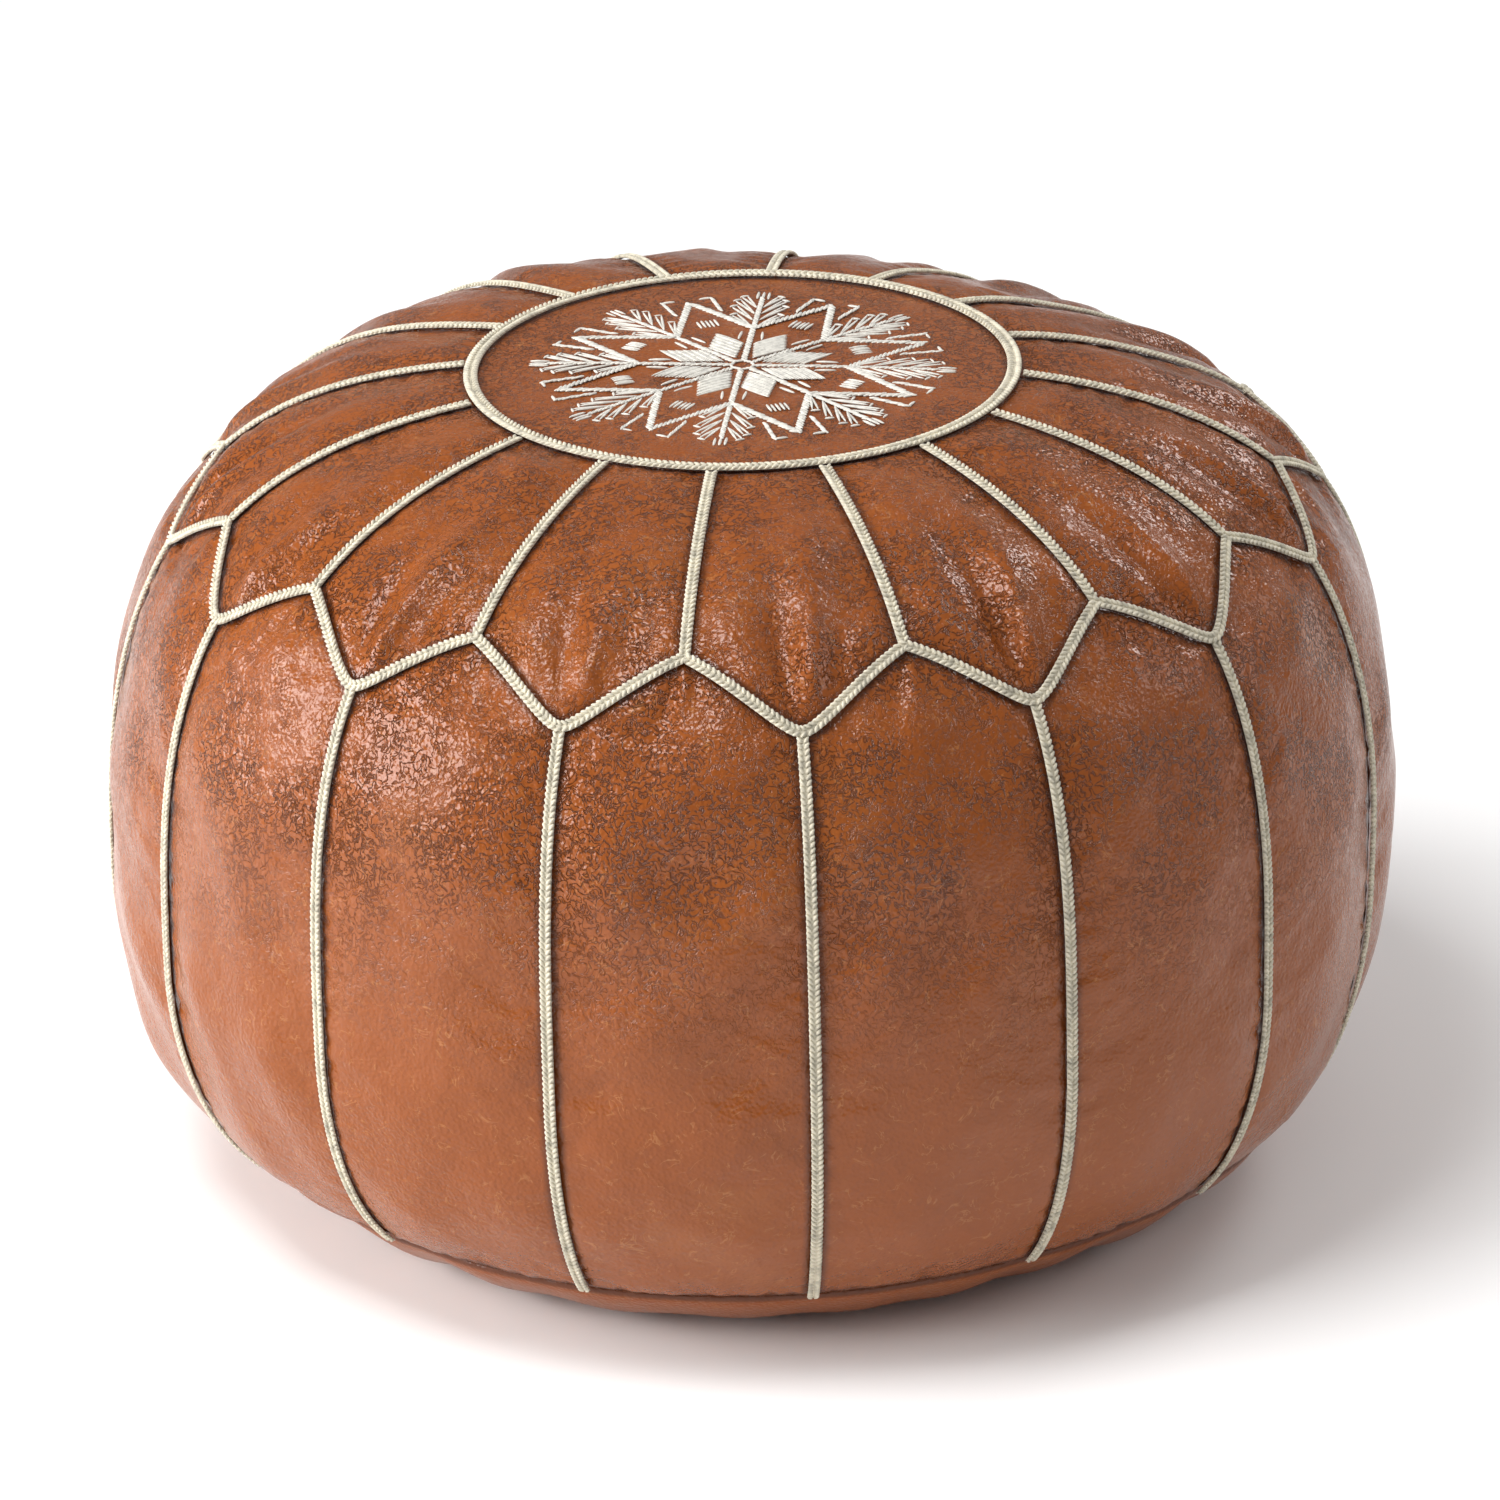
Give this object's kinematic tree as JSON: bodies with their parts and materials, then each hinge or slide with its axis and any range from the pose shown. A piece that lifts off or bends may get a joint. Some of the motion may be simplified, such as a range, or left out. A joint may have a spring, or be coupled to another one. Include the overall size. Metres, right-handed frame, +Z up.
{
  "type": "moroccan leather pouf",
  "caption": "Round stuffed floor pouf in tan leather petals and side panels with cream braided seams, an embroidered star on its crown and a zip under its base.",
  "frame": {"origin": "on the floor at the middle of the base", "axes": "+Z up, -Y the front with a petal seam in its middle, X along the zip under the base"},
  "size_m": [0.52, 0.52, 0.3295],
  "materials": {
    "tan_leather": "waxed, glossy",
    "cream_braid": "plaited cord, matt",
    "embroidery_silk": "silk thread, soft sheen",
    "zip_tape": "woven, matt",
    "zip_coil": "satin",
    "aged_brass": "aged",
    "liner_cotton": "plain weave, matt",
    "stuffing": "loose fibre, matt"
  },
  "bodies": {
    "cover": {"medallion": "tan_leather", "star_embroidery": "embroidery_silk", "medallion_braid": "cream_braid", "petal_01": "tan_leather", "petal_02": "tan_leather", "petal_03": "tan_leather", "petal_04": "tan_leather", "petal_05": "tan_leather", "petal_06": "tan_leather", "petal_07": "tan_leather", "petal_08": "tan_leather", "petal_09": "tan_leather", "petal_10": "tan_leather", "petal_11": "tan_leather", "petal_12": "tan_leather", "petal_13": "tan_leather", "petal_14": "tan_leather", "petal_15": "tan_leather", "petal_16": "tan_leather", "side_panel_01": "tan_leather", "side_panel_02": "tan_leather", "side_panel_03": "tan_leather", "side_panel_04": "tan_leather", "side_panel_05": "tan_leather", "side_panel_06": "tan_leather", "side_panel_07": "tan_leather", "side_panel_08": "tan_leather", "side_panel_09": "tan_leather", "side_panel_10": "tan_leather", "side_panel_11": "tan_leather", "side_panel_12": "tan_leather", "side_panel_13": "tan_leather", "side_panel_14": "tan_leather", "side_panel_15": "tan_leather", "side_panel_16": "tan_leather", "petal_seam_braids": "cream_braid", "zigzag_braid": "cream_braid", "side_seam_braids": "cream_braid", "base_rim_front": "tan_leather", "base_rim_back": "tan_leather", "base_panel_front": "tan_leather", "base_panel_back": "tan_leather", "zip_tape_front": "zip_tape", "zip_tape_back": "zip_tape", "zip_coil_front": "zip_coil", "zip_coil_back": "zip_coil", "zip_top_stops": "aged_brass", "zip_bottom_stop": "aged_brass", "liner_top": "liner_cotton", "liner_side_band": "liner_cotton", "liner_base": "liner_cotton", "filling": "stuffing"},
    "zip_slider": {"zip_slider": "aged_brass"},
    "zip_pull": {"zip_pull": "aged_brass"}
  },
  "joints": [
    {"name": "zip_slide", "type": "slide", "parent": "cover", "child": "zip_slider", "axis": [1, 0, 0], "range_m": [0, 0.198]},
    {"name": "pull_swing", "type": "hinge", "parent": "zip_slider", "child": "zip_pull", "pos_m": [-0.099, 0, 0.00792], "axis": [0, 1, 0], "range_deg": [-15, 160]}
  ]
}
